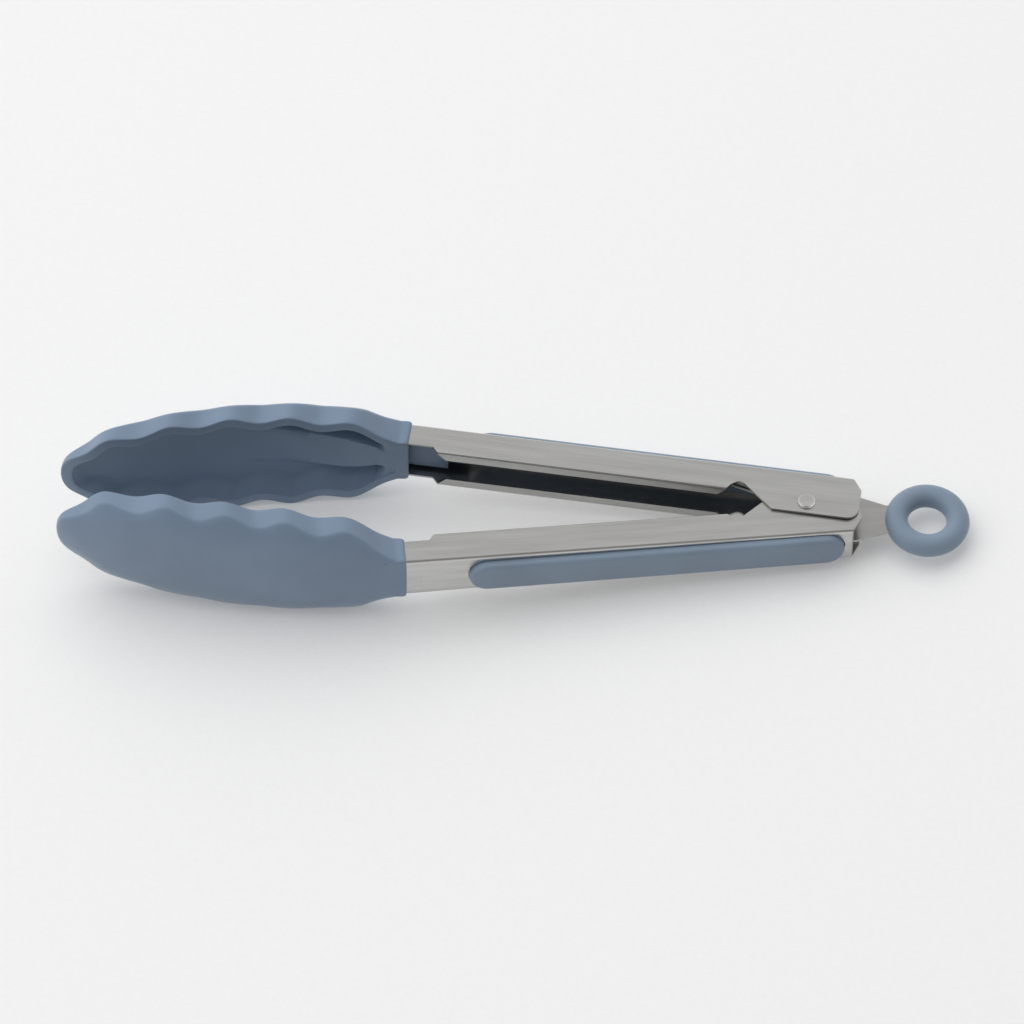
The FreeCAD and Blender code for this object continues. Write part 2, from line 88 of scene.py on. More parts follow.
def spline_through(points):
    """Natural cubic spline through (x, y) points, as a function of x."""
    count = len(points)
    xs = [p[0] for p in points]
    ys = [p[1] for p in points]
    gaps = [xs[i + 1] - xs[i] for i in range(count - 1)]
    low, mid, high, target = [0.0] * count, [1.0] * count, [0.0] * count, [0.0] * count
    for i in range(1, count - 1):
        low[i], high[i] = gaps[i - 1], gaps[i]
        mid[i] = 2 * (gaps[i - 1] + gaps[i])
        target[i] = 6 * ((ys[i + 1] - ys[i]) / gaps[i] - (ys[i] - ys[i - 1]) / gaps[i - 1])
    for i in range(1, count):
        share = low[i] / mid[i - 1]
        mid[i] -= share * high[i - 1]
        target[i] -= share * target[i - 1]
    bend = [0.0] * count
    for i in range(count - 2, 0, -1):
        bend[i] = (target[i] - high[i] * bend[i + 1]) / mid[i]

    def value(x):
        i = 0
        while i < count - 2 and x > xs[i + 1]:
            i += 1
        gap = gaps[i]
        right, left = (x - xs[i]) / gap, (xs[i + 1] - x) / gap
        cubic = ((left ** 3 - left) * bend[i] + (right ** 3 - right) * bend[i + 1]) * gap * gap / 6
        return left * ys[i] + right * ys[i + 1] + cubic
    return value


# ---------------------------------------------------------------- meshes


def new_mesh(name, points, faces, smooth=True):
    """Object with one mesh of the given points and faces."""
    mesh = bpy.data.meshes.new(name)
    mesh.from_pydata([tuple(p) for p in points], [], faces)
    obj = bpy.data.objects.new(name, mesh)
    bpy.context.scene.collection.objects.link(obj)
    for face in mesh.polygons:
        face.use_smooth = smooth
    return obj


def tidy_mesh(obj, merge=0.02 * MM):
    """Merge points that meet and turn every face outwards."""
    work = bmesh.new()
    work.from_mesh(obj.data)
    bmesh.ops.remove_doubles(work, verts=work.verts, dist=merge)
    bmesh.ops.recalc_face_normals(work, faces=work.faces)
    for face in work.faces:
        face.smooth = True
    work.to_mesh(obj.data)
    work.free()
    return obj


def sharp_by_angle(obj, degrees):
    """Keep edges crisp where faces meet at more than an angle."""
    work = bmesh.new()
    work.from_mesh(obj.data)
    for edge in work.edges:
        if len(edge.link_faces) == 2:
            edge.smooth = edge.calc_face_angle(0.0) < math.radians(degrees)
    work.to_mesh(obj.data)
    work.free()


def skin_rings(rings, cap_start=False, cap_end=False):
    """Points and faces of a surface through closed rings of equal length."""
    count = len(rings[0])
    points = [p for ring in rings for p in ring]
    faces = []
    for k in range(len(rings) - 1):
        for i in range(count):
            j = (i + 1) % count
            faces.append((k * count + i, k * count + j, (k + 1) * count + j, (k + 1) * count + i))
    if cap_start:
        faces.append(tuple(range(count)))
    if cap_end:
        last = (len(rings) - 1) * count
        faces.append(tuple(last + i for i in reversed(range(count))))
    return points, faces


# ---------------------------------------------------------------- heads

# Outline: reaches along the arm and half widths.
COLLAR_FRONT, HEAD_TIP = 115.6, 213.7
COLLAR_HALF, HEAD_HALF = 8.6, 19.8
COLLAR_CORNER = 1.0
SHOULDER, WIDEST = 119.0, 162.0
TIP_POWER = 2.6
WAVE, FIRST_CREST, HALF_PITCH, WAVE_KNOTS = 1.2, 132.4, 8.375, 9
OUTLINE_STEPS = 420
# Sections run from each outline point to a point of this line.
SPINE_START, SPINE_END = 124.2, 194.5
# Back: an arc along the head, crowned across it, with edges that drop away and a rounding.
BACK_CENTRE_POINTS = ((COLLAR_FRONT, 11.5), (165.0, 4.9), (HEAD_TIP, -13.9))
CROWN_RADIUS = 69.0
EDGE_DROP, DROP_START = 1.5, 0.635
COLLAR_ROUNDING, ADDED_ROUNDING, FULLY_GROWN = 1.0, 0.9, 128.0
ROUNDING_SLOPE, ROUNDING_SINK, ROUNDING_STEPS = 0.6, 0.25, 7
BACK_SHARES = (0.0, 0.12, 0.25, 0.38, 0.5, 0.6, 0.68, 0.75, 0.81, 0.87, 0.93, 1.0)
# Rim that faces the other head.
RIM_LINE = spline_through([(COLLAR_FRONT, 2.6), (150.0, -2.7), (175.0, -8.5), (196.0, -14.9),
                           (206.0, -16.9), (HEAD_TIP + 1.0, -17.2)])
RIM_WIDTH, RIM_ROUND, RIM_ROUND_STEPS = 3.4, 0.45, 4
INNER_RIM_SINK = 0.12
# Scoop: its square end in the collar, a bowl, and a raised panel with a groove at each side.
CAVITY_END, CAVITY_HALF, CAVITY_FREE, CAVITY_FLARE = 119.4, 4.95, 126.0, 12.0
CAVITY_OPENS, CAVITY_OPEN = 122.0, 125.5
FLOOR_GAUGE, FLOOR_LEDGE = 3.2, 0.35
BOWL_WIDTH, BOWL_POWER = 4.2, 2.6
BOWL_STEPS = (0.15, 0.35, 0.7, 1.1, 1.6, 2.2, 2.9, 3.7, 4.6)
PANEL_DEPTH, PANEL_START, PANEL_END = 1.1, 118.0, 164.0
PANEL_NARROW, PANEL_WIDENS, PANEL_WIDENS_OVER = 2.3, 5.3, 21.0
PANEL_OUTSIDE = (2.7, 1.9, 1.5, 1.1, 0.8, 0.5, 0.3, 0.1)
PANEL_SPREAD = 3.2
GROOVE_DEPTH, GROOVE_PLACE, GROOVE_WIDTH = 0.45, 1.1, 0.8
GROOVE_FADES, GROOVE_GONE = 135.0, 170.0
# Opening for the arm's end.
POCKET_LOW, POCKET_HIGH, POCKET_END, POCKET_GAP = 3.35, 10.75, 122.05, 0.05
POCKET_HALF = {"outer": CHANNEL_HALF, "inner": 7.95}


def plain_half_width(reach):
    """Half width of the head without its scallops."""
    if reach < WIDEST:
        part = (WIDEST - reach) / (WIDEST - SHOULDER)
        return COLLAR_HALF + (HEAD_HALF - COLLAR_HALF) * math.sqrt(max(0.0, 1 - part ** 2))
    part = (reach - WIDEST) / (HEAD_TIP - WIDEST)
    return HEAD_HALF * max(0.0, 1 - part ** TIP_POWER) ** (1 / TIP_POWER)


def circle_through(points):
    """Centre and radius of the circle through three points."""
    (ax, ay), (bx, by), (cx, cy) = points
    d = 2 * (ax * (by - cy) + bx * (cy - ay) + cx * (ay - by))
    a2, b2, c2 = ax * ax + ay * ay, bx * bx + by * by, cx * cx + cy * cy
    x = (a2 * (by - cy) + b2 * (cy - ay) + c2 * (ay - by)) / d
    y = (a2 * (cx - bx) + b2 * (ax - cx) + c2 * (bx - ax)) / d
    return x, y, math.hypot(ax - x, ay - y)


BACK_X, BACK_Y, BACK_RADIUS = circle_through(BACK_CENTRE_POINTS)


def back_height(reach, side):
    """Height of the head's back: an arc along it, crowned across it away from the collar."""
    middle = BACK_Y + math.sqrt(BACK_RADIUS ** 2 - (reach - BACK_X) ** 2)
    crown = CROWN_RADIUS - math.sqrt(CROWN_RADIUS ** 2 - side ** 2)
    return middle - crown


def outline_points():
    """Head outline seen square to its back, from the collar's end round the tip and back."""
    knots = [(COLLAR_FRONT + 3.0, COLLAR_HALF), (123.6, 11.6)]
    for k in range(WAVE_KNOTS):
        reach = FIRST_CREST + k * HALF_PITCH
        knots.append((reach, plain_half_width(reach) + WAVE * (-1) ** k))
    knots += [(HEAD_TIP - 7.3, 10.7), (HEAD_TIP - 1.8, 6.4), (HEAD_TIP, 0.0)]
    knots += [(reach, -half) for reach, half in knots[-2::-1]]
    lengths = [0.0]
    for (x0, y0), (x1, y1) in zip(knots, knots[1:]):
        lengths.append(lengths[-1] + math.hypot(x1 - x0, y1 - y0))
    reach_of = spline_through(list(zip(lengths, [k[0] for k in knots])))
    half_of = spline_through(list(zip(lengths, [k[1] for k in knots])))
    curve = []
    for i in range(OUTLINE_STEPS + 1):
        along = lengths[-1] * i / OUTLINE_STEPS
        curve.append((reach_of(along), half_of(along)))
    upper = [(COLLAR_FRONT, COLLAR_HALF * share) for share in (0.0, 0.2, 0.4, 0.6, 0.8)]
    for i in range(6):
        turn = math.pi / 2 * i / 5
        upper.append((COLLAR_FRONT + COLLAR_CORNER * (1 - math.cos(turn)),
                      COLLAR_HALF - COLLAR_CORNER * (1 - math.sin(turn))))
    upper += [(COLLAR_FRONT + 1.6, COLLAR_HALF), (COLLAR_FRONT + 2.3, COLLAR_HALF)]
    lower = [(reach, -half) for reach, half in upper[:0:-1]]
    return upper + curve + lower


def spine_of(point):
    """Point of the head's spine that belongs to an outline point."""
    return min(max(point[0], SPINE_START), SPINE_END), 0.0


def inward(point, amount):
    """Outline point moved towards the head's spine."""
    away = Vector(spine_of(point)) - Vector(point)
    step = away.normalized() * min(amount, away.length)
    return point[0] + step.x, point[1] + step.y


def wave_at(reach):
    """Scallop of the outline at a reach: a cosine with its crests on the outline's own."""
    last = FIRST_CREST + (WAVE_KNOTS - 0.5) * HALF_PITCH
    inside = FIRST_CREST - HALF_PITCH / 2 < reach < last
    return WAVE * math.cos(math.pi * (reach - FIRST_CREST) / HALF_PITCH) if inside else 0.0


def cavity_edge(point, upper):
    """Point of the scoop's inner rim that belongs to an outline point."""
    reach, half = point
    if reach >= CAVITY_FREE:
        return inward(point, RIM_WIDTH)
    share = (reach - COLLAR_FRONT) / (CAVITY_FREE - COLLAR_FRONT)
    inner_reach = CAVITY_END + (CAVITY_FREE - CAVITY_END) * share
    full = next(h for r, h in upper if r >= inner_reach) - 0.1 - RIM_WIDTH
    side = math.copysign(min(full, CAVITY_HALF + CAVITY_FLARE * share), half)
    if abs(half) < COLLAR_HALF - COLLAR_CORNER:
        side = half * CAVITY_HALF / (COLLAR_HALF - COLLAR_CORNER)
    return inner_reach, side


def panel_half(reach):
    """Half width of the raised panel in the scoop, which widens away from the collar."""
    part = min(1.0, max(0.0, (reach - CAVITY_END) / PANEL_WIDENS_OVER))
    return PANEL_NARROW + PANEL_WIDENS * (1 - (1 - part) ** 2)


def scoop_floor(reach, side, inside):
    """Height of the scoop's surface at a distance inside its inner rim: a soft bowl and a panel."""
    near_rim = RIM_LINE(reach) + FLOOR_LEDGE
    opened = smooth_step(CAVITY_OPENS, CAVITY_OPEN, reach)
    deep = back_height(reach, side) - FLOOR_GAUGE
    past_panel = abs(side) - panel_half(reach)
    raised = (deep - near_rim - PANEL_DEPTH) * (1 - smooth_step(PANEL_START, PANEL_END, reach))
    deep -= raised * (1 - smooth_step(-0.7, 0.5, past_panel))
    groove = GROOVE_DEPTH * (1 - smooth_step(GROOVE_FADES, GROOVE_GONE, reach))
    deep += groove * math.exp(-((past_panel - GROOVE_PLACE) / GROOVE_WIDTH) ** 2)
    bowl = 1 - (1 - min(1.0, inside / BOWL_WIDTH)) ** BOWL_POWER
    return near_rim + (deep - near_rim) * bowl * opened + FLOOR_LEDGE * bowl * (1 - opened)


def head_profile(point, upper):
    """One section of the head, from the back's spine over the edge and rim into the scoop."""
    reach, half = point
    width = (Vector(point) - Vector(spine_of(point))).length
    grown = smooth_step(COLLAR_FRONT + 1.0, FULLY_GROWN, reach)
    rounding = COLLAR_ROUNDING + ADDED_ROUNDING * grown
    even_width = max(1.0, width - wave_at(reach))
    drop_width = even_width * (1 - DROP_START)

    def outer(inset):
        r, s = inward(point, inset)
        over = max(0.0, width - inset - even_width * DROP_START)
        return r, back_height(r, s) - grown * EDGE_DROP * (over / drop_width) ** 2, s

    section = [outer(rounding + (width - rounding) * (1 - share)) for share in BACK_SHARES]
    top = section[-1][1]
    slope = ROUNDING_SLOPE * grown
    for i in range(1, ROUNDING_STEPS + 1):
        turn = math.pi / 2 * i / ROUNDING_STEPS
        r, s = inward(point, rounding * (1 - math.sin(turn)))
        sunk = rounding * (1 - math.cos(turn))
        sunk += slope * rounding * math.sin(turn) * (1 - i / ROUNDING_STEPS)
        section.append((r, top - sunk - ROUNDING_SINK * grown * math.sin(turn), s))
    rim = RIM_LINE(reach)
    wall_top = section[-1][1]
    for share in (0.25, 0.5, 0.75):
        section.append((reach, wall_top + (rim + RIM_ROUND - wall_top) * share, half))
    for i in range(RIM_ROUND_STEPS + 1):
        turn = math.pi / 2 * i / RIM_ROUND_STEPS
        r, s = inward(point, RIM_ROUND * (1 - math.cos(turn)))
        section.append((r, RIM_LINE(r) + RIM_ROUND * (1 - math.sin(turn)), s))
    outer_rim = Vector(inward(point, RIM_ROUND))
    inner_rim = Vector(cavity_edge(point, upper))
    for share in (0.3, 0.6, 0.88):
        r, s = outer_rim.lerp(inner_rim, share)
        section.append((r, RIM_LINE(r), s))
    section.append((inner_rim.x, RIM_LINE(inner_rim.x) + INNER_RIM_SINK, inner_rim.y))
    spine = Vector(spine_of(point))
    inner_width = (spine - inner_rim).length
    panel = panel_half(inner_rim.x)
    bowl_share = min(1.0, max(1.2, inner_width - panel - 1.6) / BOWL_STEPS[-1])
    insides = [step * bowl_share for step in BOWL_STEPS]
    left = inner_width - insides[-1]
    edge = min(panel, 0.9 * left)
    spread = min(1.0, (left - edge) / PANEL_SPREAD)
    places = [edge + past * spread for past in PANEL_OUTSIDE]
    places += [edge - 0.1, edge - 0.3, edge - 0.5, edge - 0.7, edge * 0.5, edge * 0.2, 0.0]
    insides += [inner_width - place for place in places]
    for inside in insides:
        r, s = inner_rim.lerp(spine, inside / inner_width)
        section.append((r, scoop_floor(r, s, inside), s))
    return section


def cut_away(obj, low, high, lever):
    """Cut a box, given by two corners in the arm's axes, out of a mesh."""
    corners = [(r, h, s) for r in (low[0], high[0]) for h in (low[1], high[1]) for s in (low[2], high[2])]
    points = [lever_point(lever, *corner) for corner in corners]
    faces = [(0, 1, 3, 2), (4, 6, 7, 5), (0, 4, 5, 1), (2, 3, 7, 6), (0, 2, 6, 4), (1, 5, 7, 3)]
    tool = tidy_mesh(new_mesh("cut_tool", points, faces))
    modifier = obj.modifiers.new("cut", "BOOLEAN")
    modifier.operation = "DIFFERENCE"
    modifier.object = tool
    modifier.solver = "EXACT"
    apply_modifiers(obj)
    bpy.data.objects.remove(tool)


def apply_modifiers(obj):
    """Turn what an object's modifiers make into its own mesh."""
    graph = bpy.context.evaluated_depsgraph_get()
    mesh = bpy.data.meshes.new_from_object(obj.evaluated_get(graph))
    obj.modifiers.clear()
    obj.data = mesh


def head_cover(lever):
    """Silicone scoop with a scalloped edge, and the opening that its arm goes into."""
    outline = outline_points()
    rings = []
    upper = [place for place in outline[:len(outline) // 2] if place[1] > 0]
    for section in zip(*[head_profile(point, upper) for point in outline]):
        rings.append([lever_point(lever, *place) for place in section])
    points, faces = skin_rings(rings)
    cover = tidy_mesh(new_mesh(f"{lever}_silicone_head", points, faces))
    half = POCKET_HALF[lever] + POCKET_GAP
    cut_away(cover, (COLLAR_FRONT - 2.0, POCKET_LOW, -half), (POCKET_END, POCKET_HIGH, half), lever)
    for face in cover.data.polygons:
        face.use_smooth = True
    sharp_by_angle(cover, 40)
    return cover


# ---------------------------------------------------------------- materials


def material(name):
    """New material with its node tree and its shader."""
    made = bpy.data.materials.new(name)
    made.use_nodes = True
    tree = made.node_tree
    shader = tree.nodes["Principled BSDF"]
    return made, tree, shader


def noise(tree, scale, detail=3.0, stretch=(1, 1, 1), turn=0.0):
    """Noise in the frame's axes, in cells per metre, turned about Z and stretched."""
    place = tree.nodes.new("ShaderNodeTexCoord")
    mapping = tree.nodes.new("ShaderNodeMapping")
    mapping.vector_type = "TEXTURE"
    mapping.inputs["Rotation"].default_value = (0, 0, turn)
    mapping.inputs["Scale"].default_value = stretch
    texture = tree.nodes.new("ShaderNodeTexNoise")
    texture.inputs["Scale"].default_value = scale
    texture.inputs["Detail"].default_value = detail
    tree.links.new(place.outputs["Object"], mapping.inputs["Vector"])
    tree.links.new(mapping.outputs["Vector"], texture.inputs["Vector"])
    return texture.outputs["Fac"]


def ramp(tree, source, low, high, start=0.35, end=0.65):
    """Colours or greys between two values of a source."""
    node = tree.nodes.new("ShaderNodeValToRGB")
    node.color_ramp.elements[0].position = start
    node.color_ramp.elements[1].position = end
    node.color_ramp.elements[0].color = low
    node.color_ramp.elements[1].color = high
    tree.links.new(source, node.inputs["Fac"])
    return node.outputs["Color"]


def grey(value):
    return (value, value, value, 1)


def linear(red, green, blue):
    """Colour in the scene's linear light from the usual 0 to 255 values."""
    def one(value):
        value /= 255
        return value / 12.92 if value <= 0.04045 else ((value + 0.055) / 1.055) ** 2.4
    return (one(red), one(green), one(blue), 1)


def shade(colour, factor):
    """Colour made lighter or darker by a factor."""
    return tuple(c * factor for c in colour[:3]) + (1,)


def warm(value):
    """The faintly warm grey of stainless steel."""
    return shade((1.0, 0.992, 0.968), value)


def bump(tree, shader, source, strength, distance):
    """Relief on a shader from a source, its distance in metres."""
    node = tree.nodes.new("ShaderNodeBump")
    node.inputs["Strength"].default_value = strength
    node.inputs["Distance"].default_value = distance
    tree.links.new(source, node.inputs["Height"])
    tree.links.new(node.outputs["Normal"], shader.inputs["Normal"])


def maths(tree, operation, first, second=None):
    """One sum of two values, each a node's output or a plain number."""
    node = tree.nodes.new("ShaderNodeMath")
    node.operation = operation
    for socket, value in zip(node.inputs, (first, second)):
        if isinstance(value, (int, float)):
            socket.default_value = value
        elif value is not None:
            tree.links.new(value, socket)
    return node.outputs["Value"]


def painted_channel_shade(tree, sign):
    """Mask for painted shade: one on the channel's inner faces, whose normals face its middle, and none
    outside.
    """
    place = tree.nodes.new("ShaderNodeTexCoord")
    back = tree.nodes.new("ShaderNodeVectorMath")
    back.operation = "DOT_PRODUCT"
    back.inputs[1].default_value = (-math.sin(HALF_OPENING), -sign * math.cos(HALF_OPENING), 0.0)
    tree.links.new(place.outputs["Normal"], back.inputs[0])
    spot = tree.nodes.new("ShaderNodeSeparateXYZ")
    facing = tree.nodes.new("ShaderNodeSeparateXYZ")
    tree.links.new(place.outputs["Object"], spot.inputs["Vector"])
    tree.links.new(place.outputs["Normal"], facing.inputs["Vector"])
    wall = maths(tree, "MULTIPLY", maths(tree, "SIGN", spot.outputs["Z"]), facing.outputs["Z"])
    return maths(tree, "MAXIMUM", maths(tree, "MULTIPLY", wall, -1.0), back.outputs["Value"])


def steel(name, turn, tint=0.62, rough=(0.24, 0.34), channel=0):
    """Satin stainless steel: a fine grain and broad soft streaks, and painted shade on a channel's inner
    faces.
    """
    made, tree, shader = material(name)
    shader.inputs["Metallic"].default_value = 1.0
    grain = noise(tree, 3200, 3.0, (60, 1, 1), turn)
    streaks = noise(tree, 420, 2.0, (14, 1, 1), turn)
    cloud = noise(tree, 70, 2.0)
    both = tree.nodes.new("ShaderNodeMix")
    both.data_type = "RGBA"
    both.blend_type = "MULTIPLY"
    both.inputs["Factor"].default_value = 1.0
    tree.links.new(ramp(tree, grain, warm(tint * 0.88), warm(tint * 1.08), 0.15, 0.85), both.inputs["A"])
    tree.links.new(ramp(tree, streaks, grey(0.86), grey(1.09), 0.15, 0.85), both.inputs["B"])
    colour = both.outputs["Result"]
    # Painted shade: the colour on the channel's inner faces is darkened to stand in for the shade inside
    # the channel.
    if channel:
        channel_shade_mix = tree.nodes.new("ShaderNodeMix")
        channel_shade_mix.data_type = "RGBA"
        channel_shade_mix.blend_type = "MULTIPLY"
        channel_shade_mix.inputs["Factor"].default_value = 1.0
        tree.links.new(colour, channel_shade_mix.inputs["A"])
        inner = ramp(tree, painted_channel_shade(tree, channel), grey(1.0), grey(0.72), 0.3, 0.7)
        tree.links.new(inner, channel_shade_mix.inputs["B"])
        colour = channel_shade_mix.outputs["Result"]
    tree.links.new(colour, shader.inputs["Base Color"])
    tree.links.new(ramp(tree, cloud, grey(rough[0]), grey(rough[1]), 0.1, 0.9),
                   shader.inputs["Roughness"])
    bump(tree, shader, grain, 0.12, 0.00002)
    return made


def rubber(name, colour, rough, sheen=0.25):
    """Matt moulded silicone or soft-touch rubber with a fine skin texture and a dusty bloom."""
    made, tree, shader = material(name)
    bloom = noise(tree, 45, 4.0)
    fine = noise(tree, 3500, 2.0)
    tree.links.new(ramp(tree, bloom, shade(colour, 0.95), shade(colour, 1.06)),
                   shader.inputs["Base Color"])
    tree.links.new(ramp(tree, fine, grey(rough - 0.05), grey(rough + 0.06)),
                   shader.inputs["Roughness"])
    shader.inputs["Specular IOR Level"].default_value = 0.45
    shader.inputs["Sheen Weight"].default_value = sheen
    shader.inputs["Sheen Roughness"].default_value = 0.4
    bump(tree, shader, fine, 0.06, 0.00003)
    return made


STEEL = {}
for lever, sign in LEVERS.items():
    STEEL[lever] = steel(f"{lever}_brushed_steel", -sign * HALF_OPENING, channel=sign)
PLATE_STEEL = steel("plate_steel", 0.0, tint=0.52)
RIVET_STEEL = steel("rivet_steel", 0.0, tint=0.66, rough=(0.2, 0.3))
SPRING_STEEL = steel("spring_wire_steel", 0.0, tint=0.5, rough=(0.25, 0.35))
SILICONE = rubber("blue_grey_silicone", linear(118, 137, 159), 0.46)
GRIP = rubber("grey_grip_rubber", linear(125, 142, 160), 0.5)
NYLON = rubber("blue_grey_nylon", linear(110, 128, 148), 0.42, sheen=0.0)


def paint(obj, made):
    """Give an object one material in place of its own."""
    obj.data.materials.clear()
    obj.data.materials.append(made)


# ---------------------------------------------------------------- grip pads

SLOT_FRONT, SLOT_BACK, SLOT_HALF = 98.1, -10.1, 5.85
PAD_GAP, PAD_CROWN = 0.35, 0.12
PAD_TOP, PAD_ROUND, PAD_ROUND_STEPS = 13.2, 1.3, 7
PAD_ROOT = ARM_BACK - 0.75


def stadium_points(inset):
    """Stadium outline of the pad, moved in by a distance."""
    steps, runs = 28, 40
    half = SLOT_HALF - PAD_GAP - inset
    front, back = SLOT_FRONT - SLOT_HALF, SLOT_BACK + SLOT_HALF
    points = []
    for i in range(steps + 1):
        turn = math.pi * (i / steps - 0.5)
        points.append((front + half * math.cos(turn), half * math.sin(turn)))
    for i in range(1, runs):
        points.append((front + (back - front) * i / runs, half))
    for i in range(steps + 1):
        turn = math.pi * (i / steps + 0.5)
        points.append((back + half * math.cos(turn), half * math.sin(turn)))
    for i in range(1, runs):
        points.append((back + (front - back) * i / runs, -half))
    return points


def grip_pad(lever):
    """Soft pad with a crowned top and a rounded upper edge."""
    edge = PAD_TOP - PAD_CROWN
    full = SLOT_HALF - PAD_GAP
    places = [(0.0, PAD_ROOT), (0.0, ARM_BACK + 0.3), (0.0, edge - PAD_ROUND)]
    for i in range(1, PAD_ROUND_STEPS + 1):
        turn = math.pi / 2 * i / PAD_ROUND_STEPS
        places.append((PAD_ROUND * (1 - math.cos(turn)), edge - PAD_ROUND * (1 - math.sin(turn))))
    for inset in (2.0, 2.8, 3.8, 4.8, full):
        rise = PAD_CROWN * (1 - ((full - inset) / (full - PAD_ROUND)) ** 2)
        places.append((inset, edge + rise))
    rings = [[(r, height, s) for r, s in stadium_points(inset)] for inset, height in places]
    placed = [[lever_point(lever, *place) for place in ring] for ring in rings]
    points, faces = skin_rings(placed, cap_start=True)
    pad = tidy_mesh(new_mesh(f"{lever}_soft_grip", points, faces))
    sharp_by_angle(pad, 50)
    return pad


# ---------------------------------------------------------------- pivot, ring and spring

RIVET_RADIUS, RIVET_RISE, RIVET_SHANK, RIVET_GAP = 2.6, 1.0, 2.0, 0.05
# The head's rounded edge, as shares of its radius and of its rise.
RIVET_EDGE = ((0.35, 0.985), (0.62, 0.93), (0.8, 0.83), (0.92, 0.66), (0.985, 0.45), (1.0, 0.25),
              (0.985, 0.08), (0.94, 0.0))

def lathe(name, profile, steps, centre_x=0.0):
    """Surface of revolution about Z from (radius, z) places, closed on itself or on the axis."""
    rings = []
    for radius, z in profile:
        ring = []
        for i in range(steps):
            turn = 2 * math.pi * i / steps
            ring.append(Vector((centre_x + radius * math.cos(turn), radius * math.sin(turn), z)) * MM)
        rings.append(ring)
    points, faces = skin_rings(rings)
    return tidy_mesh(new_mesh(name, points, faces), merge=0.002 * MM)


def rivet():
    """Rivet with a flat-domed, softly rounded head outside each outer ear."""
    top = CHANNEL_HALF + RIVET_GAP
    profile = [(0.0, top + RIVET_RISE)]
    for radius_share, rise_share in RIVET_EDGE:
        profile.append((RIVET_RADIUS * radius_share, top + RIVET_RISE * rise_share))
    profile.append((RIVET_SHANK, top))
    lower = [(r, -z) for r, z in reversed(profile)]
    return lathe("pivot_rivet_pin", profile + lower, 64, PIVOT_X)


RING_RADIUS, RING_SECTION, HOLE_RADIUS = 8.8, 3.4, 5.5
RIDGE_RISE, RIDGE_WIDTH, LAND_SINK = 0.09, 0.22, 0.02


def pull_ring():
    """Moulded hang ring: a round section with a fine parting ridge and a flat land in its hole."""
    profile = []
    steps = 56
    for i in range(steps + 1):
        turn = 2 * math.pi * i / steps
        offset = math.cos(turn)
        across = math.sin(turn) * RING_SECTION / RIDGE_WIDTH
        ridge = RIDGE_RISE * math.exp(-across ** 2) * (offset > 0)
        section = RING_SECTION - RIDGE_RISE + ridge
        radius = max(RING_RADIUS + section * offset, HOLE_RADIUS + LAND_SINK)
        profile.append((radius, section * math.sin(turn)))
    return lathe("pull_ring", profile, 128)


def wire_rings(path, radius, sides=14):
    """Rings of a round wire along a list of points."""
    rings = []
    normal = None
    for i, point in enumerate(path):
        ahead = path[min(i + 1, len(path) - 1)] - path[max(i - 1, 0)]
        ahead.normalize()
        if normal is None:
            normal = ahead.orthogonal().normalized()
        normal = (normal - ahead * normal.dot(ahead)).normalized()
        across = ahead.cross(normal)
        ring = []
        for j in range(sides):
            turn = 2 * math.pi * j / sides
            ring.append(point + (normal * math.cos(turn) + across * math.sin(turn)) * radius)
        rings.append(ring)
    return rings


def wire_piece(name, paths, radius):
    """One piece made of round wires, each closed at both ends."""
    points, faces = [], []
    for path in paths:
        wire_points, wire_faces = skin_rings(wire_rings(path, radius), cap_start=True, cap_end=True)
        faces += [tuple(len(points) + i for i in face) for face in wire_faces]
        points += wire_points
    piece = tidy_mesh(new_mesh(name, points, faces), merge=0.0001 * MM)
    sharp_by_angle(piece, 60)
    return piece


WIRE, WIRE_GAP, BRIDGE_BEND = 0.5, 0.05, 0.9
COIL_RADIUS, COIL_PITCH, COIL_TURNS, COIL_START, COIL_STEPS = 3.5, 1.3, 3.0, 1.05, 150
LEG_REACH = 23.0


def spring_places():
    """The upper half's centre line: where it meets the outer arm, its coil, and its inner arm end."""
    bearing = ARM_BACK - SHEET_GAUGE - WIRE - WIRE_GAP
    outer_end = Vector((-LEG_REACH * math.cos(HALF_OPENING) + bearing * math.sin(HALF_OPENING),
                        LEG_REACH * math.sin(HALF_OPENING) + bearing * math.cos(HALF_OPENING),
                        COIL_START))
    direction = math.atan2(outer_end.y, outer_end.x)
    leaves_at = direction - math.acos(COIL_RADIUS / math.hypot(outer_end.x, outer_end.y))
    turns = COIL_TURNS + leaves_at / math.pi
    coil = []
    for i in range(COIL_STEPS + 1):
        turned = 2 * math.pi * turns * i / COIL_STEPS
        angle = leaves_at - turned
        coil.append(Vector((COIL_RADIUS * math.cos(angle), COIL_RADIUS * math.sin(angle),
                            COIL_START + COIL_PITCH * turned / (2 * math.pi))))
    inner_end = Vector((outer_end.x, -outer_end.y, coil[-1].z))
    return outer_end, coil, inner_end


def run(start, end, steps=24):
    """Straight path between two points."""
    return [start.lerp(end, i / steps) for i in range(steps + 1)]


def corner(before, at, after, steps=8):
    """Curve that rounds a corner between two points."""
    return [before.lerp(at, i / steps).lerp(at.lerp(after, i / steps), i / steps) for i in range(steps + 1)]


def flipped(path):
    """The same path on the other side of the middle plane."""
    return [Vector((p.x, p.y, -p.z)) for p in path]


def spring_piece(name, paths):
    """Half of the spring: its coil round the rivet and its legs along one arm."""
    placed = [[Vector((PIVOT_X + p.x, p.y, p.z)) * MM for p in path] for path in paths]
    piece = wire_piece(name, placed, WIRE * MM)
    paint(piece, SPRING_STEEL)
    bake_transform(piece)
    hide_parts("torsion_spring")


